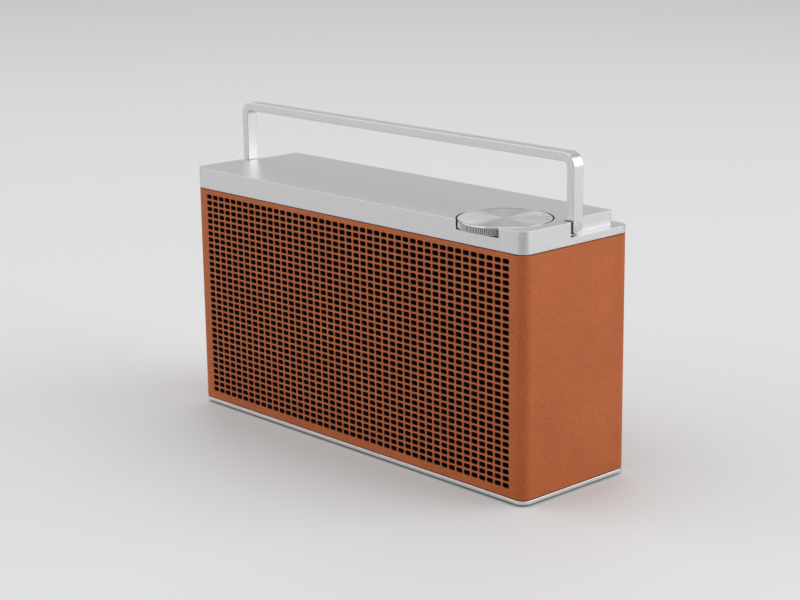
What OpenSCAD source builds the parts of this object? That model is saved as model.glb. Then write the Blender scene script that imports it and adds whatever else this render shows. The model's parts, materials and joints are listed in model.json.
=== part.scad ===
// Portable radio: a leather-wrapped cabinet with a perforated front, a metal top cover with a
// sunk volume knob, and a carrying handle that folds back into a step of the cover.
// X runs along the width, Y from the front to the back and Z up, in millimetres.
// The origin is on the floor, under the middle of the case.

/* [Case] */
// Width over the leather
body_w = 290; // [280:1:320]
// Depth over the leather
body_d = 87; // [86:1:100]
// Height of the leather-covered case
case_h = 139.2; // [130:0.2:160]
// Radius of the upright corners
corner_r = 6.5; // [5.5:0.5:9]
// Thickness of the leather
leather_t = 1.2; // [0.8:0.1:1.6]
// Wall of the moulded cabinet under the leather
cabinet_wall = 3.5; // [3:0.1:4]
// Height of the shadow gaps above and below the leather
seam_h = 0.5; // [0.3:0.1:1]

/* [Grille] */
// Spacing of the columns of holes
pitch_x = 6.11; // [6:0.01:7]
// Spacing of the rows of holes
pitch_z = 4.01; // [3.9:0.01:5]
// Width of a hole
hole_w = 4.8; // [4:0.1:5.2]
// Height of a hole
hole_h = 2.75; // [2:0.05:3]
// Middle of the lowest row above the lower edge of the leather
row_foot = 6.4; // [6:0.1:8]
// Least distance from the middle of the top row to the upper edge of the leather
row_head = 3.9; // [3.8:0.1:8]
// Least plain margin at both sides of the holes
side_margin = 9.5; // [9:0.1:12]
// Rows of holes between two cross ribs of the backing grid
rib_rows = 11; // [6:1:16]
// How far the leather swells between every second pair of rows
swell = 0.04; // [0.02:0.01:0.1]
// Thickness of the black speaker cloth
cloth_t = 0.5; // [0.3:0.1:0.8]

/* [Top cover] */
// Height of the cover
cover_h = 12.8; // [12.6:0.1:16]
// Depth of the step in which the folded handle lies
step_h = 8.5; // [8.3:0.1:9]
// Thickness of the cover's top
cover_t = 2; // [1.5:0.1:2.2]
// Thickness of the cover's upright walls
cover_wall = 2.4; // [2:0.1:3]
// From the knob's axis to the middle of the microphone inlets
mic_reach = 50.5; // [44:0.5:60]
// Diameter of a microphone inlet
mic_d = 0.8; // [0.5:0.1:1.2]

/* [Base] */
// Thickness of the metal base plate
base_t = 2.1; // [1.6:0.1:3]
// Height of the rubber feet below the base plate
foot_h = 1.5; // [1:0.1:3]
// Diameter of the rubber feet
foot_d = 14; // [10:1:18]
// Distance of the feet from the ends of the case
foot_inset = 20; // [16:1:30]

/* [Handle] */
// Thickness of the handle bar
bar_t = 5.2; // [4.5:0.1:6]
// Width of the handle bar
bar_w = 7.8; // [6.5:0.1:8]
// From the pivot to the outside of the grip
bar_reach = 42; // [38:0.5:42]
// Outer radius of the bar's bends
bend_r = 8; // [6.5:0.5:12]
// Gap between an arm and the side of the raised block
arm_gap = 1; // [0.8:0.1:1.4]
// Gap between the upright arm and the front wall of its notch
notch_gap = 2.2; // [1:0.1:3]
// Diameter of the pivot pins
pin_d = 3; // [2.5:0.1:3.4]
// Diameter of the pins' flush heads
pin_head_d = 4.8; // [4.4:0.1:5.4]
// Height of the pivot above the step
pivot_up = 4.3; // [4.1:0.1:4.6]

/* [Volume knob] */
// Diameter of the knob
knob_d = 53.4; // [48:0.2:54]
// Gap around the knob
knob_gap = 0.8; // [0.6:0.1:1.5]
// How far the rim stands out of the front
knob_out = 4.6; // [3:0.1:6]
// Depth of the knob's pocket
pocket_h = 5.7; // [5.5:0.1:6.2]
// Gap under the knob
knob_lift = 0.8; // [0.5:0.1:1]
// Height of the knob's top above the cover
knob_rise = 0; // [0:0.1:1]
// Number of flutes in the rim
flutes = 144; // [80:2:160]
// Depth of a flute
flute_depth = 0.4; // [0.2:0.05:0.5]
// Diameter of the turning shaft
shaft_d = 6; // [5:0.5:6.5]

/* [Loudspeakers] */
// Diameter of a driver's flange
driver_d = 92; // [84:1:98]
// Distance of a driver's axis from the end of the case
driver_inset = 75; // [70:1:80]
// Length of a driver behind the baffle
driver_l = 40; // [36:1:42]
// Thickness of the baffle board
baffle_t = 5; // [4:0.5:6]

/* [Electronics] */
// Diameter of a battery cell
cell_d = 18.4; // [16:0.2:20]
// Length of a battery cell
cell_l = 65; // [60:1:68]
// Width of the main circuit board
board_w = 100; // [90:1:110]
// Height of the main circuit board
board_h = 70; // [60:1:76]
// Width of the connector panel in the back
panel_w = 84; // [78:1:100]
// Height of the connector panel in the back
panel_h = 26; // [24:1:30]

/* [Antenna] */
// Diameter of the thickest tube
rod_d = 6; // [5.6:0.1:6.2]
// Step in diameter from one tube to the next
rod_step = 1; // [0.9:0.05:1.05]
// Travel of each sliding tube
rod_travel = 120; // [90:1:150]
// Length of a drawn tube that stays inside the one before it
rod_hold = 30; // [20:1:40]
// Gap between the stowed antenna and the leather
rod_gap = 0.6; // [0.4:0.1:1]

/* [Hidden] */

$fn = 96;
cut = 1; // how far a cutting tool reaches past the face that it opens
run_fit = 0.05; // radial clearance of what turns or slides in a bore
slip = 0.1; // clearance between a moving face and a still one

half_w = body_w / 2;
half_d = body_d / 2;

// Levels of the stack, from the floor up
cabinet_z = foot_h + base_t;
case_z = cabinet_z + seam_h;
case_top = case_z + case_h;
cover_z = case_top + seam_h;
cover_top = cover_z + cover_h;
step_z = cover_top - step_h;
pivot_z = step_z + pivot_up;
floor_z = cabinet_z + cabinet_wall;
roof_z = cover_z - cabinet_wall;

// Faces of the cabinet wall, front and back
wall_in = leather_t + cabinet_wall;
front_face = -half_d + leather_t;
front_in = -half_d + wall_in;
back_face = half_d - leather_t;
back_in = half_d - wall_in;

// Pattern of the holes
cols = floor((body_w - 2 * side_margin - hole_w) / pitch_x) + 1;
rows = floor((case_h - row_foot - row_head) / pitch_z) + 1;
frame_edge = 1.8; // rim of the backing grid outside the holes
window_x = (cols - 1) / 2 * pitch_x + hole_w / 2 + frame_edge;
window_low = row_z(0) - hole_h / 2 - frame_edge;
window_top = row_z(rows - 1) + hole_h / 2 + frame_edge;

// Handle and the raised block that it folds around
bar_inset = 0.2; // the bar lies inside the outline by this
bar_out = half_w - bar_inset;
bar_in = bar_out - bar_t;
block_x = bar_in - arm_gap;
grip_gap = 1.1; // between the folded grip and the back of the block
block_back = bar_reach - bar_t - grip_gap;
least_r = 0.3; // smallest corner radius of the block
block_r = max(least_r, bend_r - bar_t - arm_gap);
notch_y = -(bar_w / 2 + notch_gap);
step_t = 1.6; // plate under the step
bearing_l = 5; // length of the pin's bearing in the block
bearing_wall = 2;
head_t = 1.2; // thickness of a pin's head
clip_t = 0.8;
clip_rim = 1.2; // width of a retaining clip's ring
clip_room = 0.3; // clearance around a pin's clip in the cover
clip_x = block_x - bearing_l - slip - clip_t;

// Knob and its pocket
knob_inset = 35.5; // from the end of the case to the knob's axis
knob_r = knob_d / 2;
knob_x = half_w - knob_inset;
knob_y = -half_d - knob_out + knob_r;
pocket_r = knob_r + knob_gap;
pocket_z = cover_top - pocket_h;
pan_wall = 1.5;
pan_z = pocket_z - cover_t;
knob_z = pocket_z + knob_lift;
knob_top = cover_top + knob_rise;
knob_cap = 1.6; // thickness of the knob's top
knob_skirt = 2.4; // thickness of the knob's rim
knob_bevel = 0.6;
bush_d = shaft_d + 2;
bush_rise = 1.9; // threaded bush above the pocket's floor
nut_t = 1.5;
nut_rim = 1.75;
nut_d = bush_d + 2 * nut_rim;
hub_d = shaft_d + 4;
pot_d = 17;
pot_h = 8;
pot_room = 1; // clearance of the potentiometer in the cabinet's roof

// Screws
screw_d = 3;
screw_head_d = 5.6;
screw_head_t = 1.5;
base_screw_l = 8;
cover_screw_l = 6.5;
boss_d = 8;
boss_h = 6;
small_screw_d = 2.5;
small_head_d = 4.6;
small_head_t = 1.4;

base_screw_inset = 10; // from the end of the case
base_screw_x = half_w - base_screw_inset;
base_screw_y = 15;
base_screws_at = [for (x = [-base_screw_x, 0, base_screw_x], y = [-base_screw_y, base_screw_y]) [x, y]];
cover_screw_inset = 17; // from the end of the case
cover_screw_front = 16; // from the front of the case
cover_screw_back = 18; // from the back of the case
cover_screw_x = half_w - cover_screw_inset;
cover_screw_y = [cover_screw_front - half_d, half_d - cover_screw_back];
foot_side = 16; // from the front and the back of the case
foot_y = half_d - foot_side;
foot_stem_d = 5;
foot_edge = 0.4;

// Drivers: measured from the rear face of the baffle
driver_x = half_w - driver_inset;
baffle_back = front_in + baffle_t;
driver_z = (floor_z + roof_z) / 2;
gasket_t = 0.8;
gasket_w = 8;
flange_t = 1.6;
cone_inset = 14; // from the flange's rim to the cone
cone_r = driver_d / 2 - cone_inset;
coil_r = 10;
coil_gap = 0.4; // on both sides of the coil
coil_dip = 2; // how far the coil reaches into the magnet
magnet_r = 25;
magnet_l = 16;
magnet_back = 4; // plate behind the magnet's gap
cone_l = 15;
dust_l = 4; // depth of the cap in the cone's middle
basket_l = driver_l - magnet_l;
basket_wall = 1.2;
basket_hub = 3; // ring of the basket outside the coil
basket_rib = 2; // solid strip beside a window of the basket
basket_window = 16;
surround_w = 6;
cone_t = 0.6;
driver_screw_inset = 4;
driver_screw_r = driver_d / 2 - driver_screw_inset;
driver_screws_n = 4;

// Battery
cell_gap = 0.2;
tray_t = 1.5;
tray_inset = 16; // from the end of the case
tray_x = -half_w + tray_inset;
tray_room = 1;
tray_w = cell_l + 2 * tray_t + 2 * cell_gap;
tray_d = 2 * cell_d + 2 * tray_t + 3 * cell_gap;
tray_y = back_in - tray_room - tray_d;
tray_wall_h = cell_d * 1.6;

// Main board
post_l = 8;
post_d = 6;
pcb_t = 1.6;
board_y = back_in - post_l - pcb_t;
board_drop = 20; // below the roof
board_z = roof_z - board_h - board_drop;
board_screw_inset = 5;
tuner_size = [30, 4, 26];
tuner_drop = 12; // below the board's upper edge
chip_size = [12, 1.6, 12];
sink_size = [36, 11, 34];
sink_base = 2.5;
sink_fins = 7;
sink_fin_t = 1.2;
sink_pin_d = 2.5;
sink_drop = 8; // below the board's upper edge
sink_pin_inset = 4;

// Microphone
mic_x = knob_x - mic_reach;
mic_y = -21;
mic_can_d = 6;
mic_can_h = 2;
mic_board_w = 20;
mic_board_d = 9;
mic_board_t = 1;
mic_ring = 1.9; // radius of the arc of inlets
mic_holes = 3;
mic_arc = 50; // angle between two inlets
mic_clear = 5; // between the microphone's board and the next screw boss
cover_screw_mid = mic_x - mic_board_w / 2 - mic_clear - boss_d / 2;
cover_screws_at = concat(
    [for (x = [-cover_screw_x, -cover_screw_mid, cover_screw_mid], y = cover_screw_y) [x, y]],
    [[cover_screw_x, cover_screw_y[1]]]
);

// Connector panel
panel_rise = 10; // lower edge above the lower edge of the leather
panel_proud = 0.4; // how far the panel stands out of the leather
panel_t = leather_t + panel_proud;
panel_z = case_z + panel_rise + panel_h / 2;
panel_lip = 5;
panel_r = 3;
socket_up = 5.5; // height of the sockets' middles above their board
socket_board_top = panel_z - socket_up;
socket_board_w = 64;
socket_board_d = 18;
socket_recess = 0.3; // mouths behind the panel's face
socket_face = back_face + panel_t - socket_recess;
power_x = -22;
line_x = 0;
usb_x = 20;
power_bore_d = 5.6;
power_nose_d = 9;
power_pin_d = 2;
power_depth = 10;
line_bore_d = 3.55;
line_nose_d = 6;
line_depth = 14;
usb_w = 9;
usb_h = 3.3;
usb_wall = 0.6;
usb_depth = 6.5;
socket_body_l = 15;

// Antenna: the pivot lies on the rod's axis
rod_inset = 25; // from the end of the case
rod_drop = 15; // below the upper edge of the leather
rod_l = rod_travel + rod_hold;
rod_x = -half_w + rod_inset;
rod_z = case_top - rod_drop;
rod_y = half_d + rod_gap + rod_d / 2;
swivel_d = 14;
swivel_top = rod_y - rod_d / 2 - 2 * slip;
swivel_stem_d = 7;
bush_wall = 1.5;
bush_l = 6; // bush behind the cabinet's inner face
bush_flange_d = 18;
bush_flange_t = 2;
tang_t = rod_d * 0.6;
ear_t = 2;
rivet_d = 2;
tang_l = 8;
tube_z0 = rod_x + tang_l;
tube_wall = (rod_step - 2 * run_fit) / 2;
lip_l = 1.5; // what each tube leaves of the next one at rest
cap_l = 5;
cap_d = rod_d;

function col_x(i) = (i - (cols - 1) / 2) * pitch_x;
function row_z(j) = case_z + row_foot + j * pitch_z;
function tube_d(n) = rod_d - (n - 1) * rod_step;

// ---- shared shapes ----

// A rectangle with round corners, centred
module rounded(w, d, r) {
    square([w - 2 * r, d], center = true);
    square([w, d - 2 * r], center = true);
    for (x = [-1, 1], y = [-1, 1])
        translate([x * (w / 2 - r), y * (d / 2 - r)]) circle(r);
}

// The case's outline seen from above, set in by a distance
module outline(inset = 0) {
    rounded(body_w - 2 * inset, body_d - 2 * inset, corner_r - inset);
}

// An upright slab of the outline between two levels
module slab(z0, z1, inset = 0) {
    translate([0, 0, z0]) linear_extrude(z1 - z0) outline(inset);
}

// Extrudes a shape drawn in X and Z from y0 to y1
module along_y(y0, y1) {
    translate([0, y1, 0]) rotate([90, 0, 0]) linear_extrude(y1 - y0) children();
}

// A cylinder along Y
module rod_along_y(x, z, y0, y1, d) {
    translate([x, y0, z]) rotate([-90, 0, 0]) cylinder(h = y1 - y0, d = d);
}

// A cylinder along X
module rod_along_x(y, z, x0, x1, d) {
    translate([x0, y, z]) rotate([0, 90, 0]) cylinder(h = x1 - x0, d = d);
}

// Puts a shape at both ends, mirrored
module both_sides() {
    children();
    mirror([1, 0, 0]) children();
}

// A countersunk screw, head down, its head's face at z = 0
module countersunk(l, d, head_d, head_t) {
    cylinder(h = head_t, d1 = head_d, d2 = d);
    cylinder(h = l, d = d);
}

// A pan-head screw along +Z, its seat at z = 0
module pan_head(l, d, head_d, head_t) {
    cylinder(h = l, d = d);
    translate([0, 0, -head_t]) cylinder(h = head_t, d = head_d);
}

// ---- case ----

// The front's cross-section in depth and height, with a faint swell between every second pair of rows
module front_profile() {
    waves = [for (k = [0 : rows]) [-(k % 2) * swell, row_z(k) - pitch_z / 2]];
    face = concat([[0, case_z]], waves, [[0, case_top]]);
    back = [for (k = [len(face) - 1 : -1 : 0]) face[k] + [leather_t, 0]];
    polygon(concat(face, back));
}

module leather_wrap() {
    front_x = half_w - corner_r;
    color("sienna") {
        difference() {
            slab(case_z, case_top);
            slab(case_z - cut, case_top + cut, leather_t);
            translate([-front_x, -half_d - cut, case_z - cut])
                cube([2 * front_x, leather_t + 2 * cut, case_h + 2 * cut]);
            along_y(back_face - cut, half_d + cut) translate([0, panel_z]) rounded(panel_w, panel_h, panel_r);
            rod_along_y(rod_x, rod_z, back_face - cut, half_d + cut, swivel_d + 2 * slip);
        }
        difference() {
            translate([-front_x, -half_d, 0]) rotate([90, 0, 90]) linear_extrude(2 * front_x) front_profile();
            for (i = [0 : cols - 1], j = [0 : rows - 1])
                translate([col_x(i), -half_d + leather_t / 2, row_z(j)])
                    cube([hole_w, leather_t + 2 * cut, hole_h], center = true);
        }
    }
}

module cabinet_shell() {
    color("dimgray") difference() {
        union() {
            difference() {
                slab(cabinet_z, cover_z, leather_t);
                slab(floor_z, roof_z, wall_in);
            }
            for (p = base_screws_at)
                translate([p[0], p[1], floor_z - cut]) cylinder(h = boss_h + cut, d = boss_d);
            for (x = [-1, 1])
                translate([x * (socket_board_w / 2 - post_d), back_in - socket_board_d / 2, floor_z - cut])
                    cylinder(h = socket_board_top - pcb_t - floor_z + cut, d = post_d);
            for (p = board_screws_at())
                rod_along_y(p[0], p[1], board_y + pcb_t, back_in + cut, post_d);
        }
        along_y(front_face - cut, front_in + cut) window();
        for (p = base_screws_at)
            translate([p[0], p[1], cabinet_z - cut]) cylinder(h = base_screw_l - base_t + cut, d = screw_d);
        for (p = cover_screws_at)
            translate([p[0], p[1], roof_z - cut]) cylinder(h = cabinet_wall + 2 * cut, d = screw_d);
        translate([knob_x, knob_y, roof_z - cut])
            cylinder(h = cabinet_wall + 2 * cut, d = pot_d + 2 * pot_room);
        along_y(back_in - cut, back_face + cut)
            translate([0, panel_z]) square([panel_w - 2 * panel_lip, panel_h - 2 * panel_lip + 4], center = true);
        for (x = [-1, 1])
            rod_along_y(x * (panel_w - panel_lip) / 2, panel_z, back_in - cut, back_face + cut, small_screw_d);
        rod_along_y(rod_x, rod_z, back_in - cut, back_face + cut, swivel_stem_d + 2 * run_fit + 2 * bush_wall);
        for (p = board_screws_at())
            rod_along_y(p[0], p[1], board_y, board_y + pcb_t + post_l - tray_t, small_screw_d);
    }
}

// The opening in the cabinet's front, behind the holes
module window() {
    translate([-window_x, window_low]) square([2 * window_x, window_top - window_low]);
}

// A moulded grid with one tall slot behind each column of holes, crossed by a few ribs
module grille_grid() {
    bands = ceil(rows / rib_rows);
    color("black") along_y(front_face, front_in - cloth_t) difference() {
        window();
        for (i = [0 : cols - 1], b = [0 : bands - 1]) {
            low = row_z(b * rib_rows) - hole_h / 2;
            top = row_z(min(rows, (b + 1) * rib_rows) - 1) + hole_h / 2;
            translate([col_x(i) - hole_w / 2, low]) square([hole_w, top - low]);
        }
    }
}

module speaker_cloth() {
    color("black") along_y(front_in - cloth_t, front_in) window();
}

module front_baffle() {
    inner_w = body_w - 2 * max(wall_in, corner_r);
    color("dimgray") difference() {
        along_y(front_in, baffle_back)
            translate([-inner_w / 2, floor_z]) square([inner_w, roof_z - floor_z]);
        for (x = [-1, 1]) {
            rod_along_y(x * driver_x, driver_z, front_in - cut, baffle_back + cut,
                2 * (cone_r + surround_w));
            for (a = driver_screw_angles())
                rod_along_y(x * driver_x + driver_screw_r * cos(a),
                    driver_z + driver_screw_r * sin(a), front_in - cut, baffle_back + cut, screw_d);
        }
    }
}

// ---- top cover ----

// The raised block: full width in front, narrower behind, where the handle lies
module block_outline(inset = 0) {
    intersection() {
        outline(inset);
        union() {
            translate([-half_w, -half_d]) square([body_w, half_d + notch_y - inset]);
            translate([0, (block_back - half_d) / 2])
                rounded(2 * (block_x - inset), block_back + half_d - 2 * inset, max(least_r, block_r - inset));
        }
    }
}

module top_cover() {
    color("lightgray") difference() {
        union() {
            difference() {
                union() {
                    slab(cover_z, step_z);
                    translate([0, 0, step_z]) linear_extrude(cover_h + cover_z - step_z) block_outline();
                }
                slab(cover_z - cut, step_z - step_t, cover_wall);
                translate([0, 0, cover_z]) linear_extrude(cover_h - cover_t) block_outline(cover_wall);
            }
            intersection() {
                slab(pan_z, cover_top);
                translate([knob_x, knob_y, pan_z]) cylinder(h = cover_top - pan_z, r = pocket_r + pan_wall);
            }
            both_sides() rod_along_x(0, pivot_z, block_x - bearing_l, block_x - cut, pin_d + 2 * bearing_wall);
            for (p = cover_screws_at)
                translate([p[0], p[1], cover_z]) cylinder(h = cover_h - cover_t + cut, d = boss_d);
        }
        translate([knob_x, knob_y, pocket_z]) cylinder(h = cover_top - pocket_z + cut, r = pocket_r);
        translate([knob_x, knob_y, pan_z - cut]) cylinder(h = cover_t + 2 * cut, d = bush_d);
        both_sides() {
            rod_along_x(0, pivot_z, block_x - bearing_l - cut, block_x + cut, pin_d + 2 * run_fit);
            rod_along_x(0, pivot_z, clip_x - clip_room, block_x - bearing_l,
                pin_d + 2 * clip_rim + 2 * clip_room);
        }
        for (p = cover_screws_at)
            translate([p[0], p[1], cover_z - cut]) cylinder(h = cover_screw_l - cabinet_wall + cut, d = screw_d);
        for (k = [0 : mic_holes - 1])
            translate([mic_x, mic_y, cover_top - cover_t - cut]) rotate([0, 0, (k - (mic_holes - 1) / 2) * mic_arc])
                translate([0, mic_ring, 0]) cylinder(h = cover_t + 2 * cut, d = mic_d, $fn = 24);
    }
}

module cover_screws() {
    color("gray") for (p = cover_screws_at)
        translate([p[0], p[1], roof_z]) pan_head(cover_screw_l, screw_d, screw_head_d, screw_head_t);
}

// ---- base ----

module base_plate() {
    color("silver") difference() {
        slab(foot_h, cabinet_z);
        for (p = base_screws_at)
            translate([p[0], p[1], foot_h]) countersunk(base_t + cut, screw_d, screw_head_d, screw_head_t);
        for (x = [-1, 1], y = [-1, 1])
            translate([x * (half_w - foot_inset), y * foot_y, foot_h - cut])
                cylinder(h = base_t + 2 * cut, d = foot_stem_d);
    }
}

module base_screws() {
    color("gray") for (p = base_screws_at)
        translate([p[0], p[1], foot_h]) countersunk(base_screw_l, screw_d, screw_head_d, screw_head_t);
}

module rubber_feet() {
    color("black") for (x = [-1, 1], y = [-1, 1])
        translate([x * (half_w - foot_inset), y * foot_y, 0]) {
            cylinder(h = foot_edge, d1 = foot_d - 2 * foot_edge, d2 = foot_d);
            translate([0, 0, foot_edge]) cylinder(h = foot_h - foot_edge, d = foot_d);
            cylinder(h = foot_h + base_t, d = foot_stem_d);
        }
}

// ---- handle ----

// The bar seen from the front: an arch with round upper corners, down to the pivot
module arch(x, top, r) {
    translate([-x, pivot_z]) square([2 * x, top - r - pivot_z]);
    translate([r - x, pivot_z]) square([2 * (x - r), top - pivot_z]);
    for (s = [-1, 1]) translate([s * (x - r), top - r]) circle(r);
}

module handle_bar() {
    color("silver") difference() {
        union() {
            along_y(-bar_w / 2, bar_w / 2) difference() {
                arch(bar_out, pivot_z + bar_reach, bend_r);
                arch(bar_in, pivot_z + bar_reach - bar_t, bend_r - bar_t);
            }
            both_sides() rod_along_x(0, pivot_z, bar_in, bar_out, bar_w);
        }
        both_sides() rod_along_x(0, pivot_z, bar_in - cut, bar_out + cut, pin_d);
        both_sides() rod_along_x(0, pivot_z, bar_out - head_t, bar_out + cut, pin_head_d);
    }
}

module pivot_pins() {
    color("gainsboro") both_sides() {
        rod_along_x(0, pivot_z, clip_x, bar_out, pin_d);
        rod_along_x(0, pivot_z, bar_out - head_t, bar_out, pin_head_d);
    }
}

module pin_clips() {
    color("gray") both_sides() difference() {
        rod_along_x(0, pivot_z, clip_x, clip_x + clip_t, pin_d + 2 * clip_rim);
        rod_along_x(0, pivot_z, 0, block_x, pin_d);
    }
}

module friction_washers() {
    color("black") both_sides() difference() {
        rod_along_x(0, pivot_z, block_x, bar_in - slip, bar_w - 1);
        rod_along_x(0, pivot_z, block_x - cut, bar_in + cut, pin_d + 2 * run_fit);
    }
}

// ---- volume ----

// A disc with sharp flutes all the way around
module fluted(r) {
    step = 360 / flutes;
    polygon([for (k = [0 : flutes - 1], side = [0, 1])
        (r - side * flute_depth) * [cos((k + side / 2) * step), sin((k + side / 2) * step)]]);
}

module volume_knob() {
    h = knob_top - knob_z;
    inner_r = knob_r - knob_skirt;
    rim_r = knob_r - flute_depth - knob_bevel / 2;
    color("silver") translate([knob_x, knob_y, knob_z]) difference() {
        union() {
            linear_extrude(h - knob_bevel) fluted(knob_r);
            translate([0, 0, h - knob_bevel - cut])
                cylinder(h = cut, r = rim_r);
            translate([0, 0, h - knob_bevel])
                cylinder(h = knob_bevel, r1 = rim_r, r2 = rim_r - knob_bevel);
        }
        difference() {
            translate([0, 0, -cut]) cylinder(h = h - knob_cap + cut, r = inner_r);
            translate([0, 0, pocket_z + bush_rise + slip - knob_z]) cylinder(h = h, d = hub_d);
        }
        translate([0, 0, -cut]) cylinder(h = h - knob_cap + cut, d = shaft_d);
    }
}

module knob_shaft() {
    color("silver") translate([knob_x, knob_y, pan_z - pot_h + cover_t])
        cylinder(h = knob_top - knob_cap - (pan_z - pot_h + cover_t), d = shaft_d);
}

module volume_potentiometer() {
    color("darkslategray") translate([knob_x, knob_y, 0]) difference() {
        union() {
            translate([0, 0, pan_z - pot_h]) cylinder(h = pot_h, d = pot_d);
            translate([0, 0, pan_z - cut]) cylinder(h = pocket_z + bush_rise - pan_z + cut, d = bush_d);
        }
        translate([0, 0, pan_z - pot_h + cover_t - slip])
            cylinder(h = pot_h + pocket_h + cut, d = shaft_d + 2 * run_fit);
    }
}

module shaft_nut() {
    color("gold") translate([knob_x, knob_y, pocket_z]) difference() {
        cylinder(h = nut_t, d = nut_d, $fn = 6);
        translate([0, 0, -cut]) cylinder(h = nut_t + 2 * cut, d = bush_d);
    }
}

// ---- loudspeakers ----

function driver_screw_angles() = [for (k = [0 : driver_screws_n - 1]) 45 + k * 360 / driver_screws_n];

// Turns a profile of radius and depth about a driver's axis; depth 0 is the baffle's rear face
module driver_turn(side) {
    translate([side * driver_x, baffle_back, driver_z]) rotate([-90, 0, 0]) rotate_extrude() children();
}

module driver_basket(side) {
    seat = gasket_t + flange_t;
    web_r = coil_r + basket_hub;
    color("dimgray") difference() {
        driver_turn(side) polygon([
            [cone_r + surround_w, gasket_t], [driver_d / 2, gasket_t], [driver_d / 2, seat],
            [cone_r + surround_w + basket_wall, seat], [magnet_r, basket_l - basket_wall],
            [magnet_r, basket_l], [web_r, basket_l], [web_r, basket_l - basket_wall],
            [magnet_r - basket_wall, basket_l - basket_wall], [cone_r + surround_w, seat]
        ]);
        for (a = driver_screw_angles()) {
            rod_along_y(side * driver_x + driver_screw_r * cos(a),
                driver_z + driver_screw_r * sin(a), baffle_back, baffle_back + driver_l, screw_d);
            translate([side * driver_x, baffle_back + seat + basket_rib, driver_z]) rotate([0, 45 - a, 0])
                translate([magnet_r, 0, -basket_window / 2])
                    cube([driver_d / 2, basket_l - seat - 3 * basket_rib, basket_window]);
        }
    }
}

module driver_cone(side) {
    color("black") driver_turn(side) polygon([
        [0, cone_l - dust_l], [cone_t, cone_l - dust_l], [coil_r, cone_l - cone_t], [cone_r, gasket_t],
        [cone_r, gasket_t + cone_t], [coil_r + cone_t, cone_l], [coil_r + cone_t, basket_l + coil_dip],
        [coil_r, basket_l + coil_dip], [coil_r, cone_l + cone_t], [0, cone_l - dust_l + 2 * cone_t]
    ]);
}

module driver_surround(side) {
    roll = surround_w / 2;
    color("black") driver_turn(side) translate([cone_r + roll, gasket_t]) difference() {
        circle(roll);
        circle(roll - cone_t);
        translate([-surround_w, -2 * surround_w]) square([2 * surround_w, 2 * surround_w]);
    }
}

module driver_magnet(side) {
    color("gray") driver_turn(side) difference() {
        translate([0, basket_l]) square([magnet_r, magnet_l]);
        translate([coil_r - coil_gap, basket_l - cut])
            square([cone_t + 2 * coil_gap, magnet_l - magnet_back + cut]);
    }
}

module left_basket() { driver_basket(-1); }
module left_cone() { driver_cone(-1); }
module left_surround() { driver_surround(-1); }
module left_magnet() { driver_magnet(-1); }
module right_basket() { driver_basket(1); }
module right_cone() { driver_cone(1); }
module right_surround() { driver_surround(1); }
module right_magnet() { driver_magnet(1); }

module driver_gaskets() {
    color("black") for (side = [-1, 1]) difference() {
        driver_turn(side) translate([driver_d / 2 - gasket_w, 0]) square([gasket_w, gasket_t]);
        for (a = driver_screw_angles())
            rod_along_y(side * driver_x + driver_screw_r * cos(a),
                driver_z + driver_screw_r * sin(a), baffle_back - cut, baffle_back + cut, screw_d);
    }
}

module driver_screws() {
    seat = gasket_t + flange_t;
    color("gray") for (side = [-1, 1], a = driver_screw_angles())
        translate([side * driver_x + driver_screw_r * cos(a), baffle_back + seat,
            driver_z + driver_screw_r * sin(a)]) rotate([90, 0, 0])
                pan_head(seat + baffle_t, screw_d, screw_head_d, screw_head_t);
}

// ---- electronics ----

module battery_tray() {
    color("dimgray") translate([tray_x, tray_y, floor_z]) difference() {
        cube([tray_w, tray_d, tray_wall_h]);
        translate([tray_t, tray_t, tray_t]) cube([tray_w - 2 * tray_t, tray_d - 2 * tray_t, tray_wall_h]);
        translate([tray_w / 4, -cut, tray_t + cell_d / 2]) cube([tray_w / 2, tray_d + 2 * cut, tray_wall_h]);
    }
}

module battery_cells() {
    terminal_d = cell_d * 0.3;
    terminal_l = cell_gap;
    color("royalblue") for (i = [0, 1], k = [0, 1]) {
        y = tray_y + tray_t + cell_gap + cell_d / 2 + i * (cell_d + cell_gap);
        z = floor_z + tray_t + cell_d / 2 + k * cell_d;
        rod_along_x(y, z, tray_x + tray_t + cell_gap, tray_x + tray_t + cell_gap + cell_l, cell_d);
        rod_along_x(y, z, tray_x + tray_t + cell_l, tray_x + tray_t + cell_l + 2 * terminal_l, terminal_d);
    }
}

function board_screws_at() = [
    for (x = [-1, 1], z = [board_screw_inset, board_h - board_screw_inset])
        [x * (board_w / 2 - board_screw_inset), board_z + z]
];

module main_board() {
    color("darkgreen") difference() {
        translate([-board_w / 2, board_y, board_z]) cube([board_w, pcb_t, board_h]);
        for (p = board_screws_at())
            rod_along_y(p[0], p[1], board_y - cut, board_y + pcb_t + cut, small_screw_d);
        for (x = sink_pins_x())
            rod_along_y(x, sink_z(), board_y - cut, board_y + pcb_t + cut, sink_pin_d);
    }
}

module board_screws() {
    color("gray") for (p = board_screws_at())
        translate([p[0], board_y, p[1]]) rotate([-90, 0, 0])
            pan_head(pcb_t + post_l - tray_t, small_screw_d, small_head_d, small_head_t);
}

function sink_z() = board_z + board_h - sink_size[2] / 2 - sink_drop;
function sink_x() = board_w / 4;
function sink_pins_x() = [for (s = [-1, 1]) sink_x() + s * (sink_size[0] / 2 - sink_pin_inset)];

module tuner_module() {
    color("silver") translate([-board_w / 4 - tuner_size[0] / 2, board_y - tuner_size[1],
        board_z + board_h - tuner_size[2] - tuner_drop]) cube(tuner_size);
}

module amplifier_chip() {
    color("black") translate([sink_x() - chip_size[0] / 2, board_y - chip_size[1], sink_z() - chip_size[2] / 2])
        cube(chip_size);
}

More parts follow.
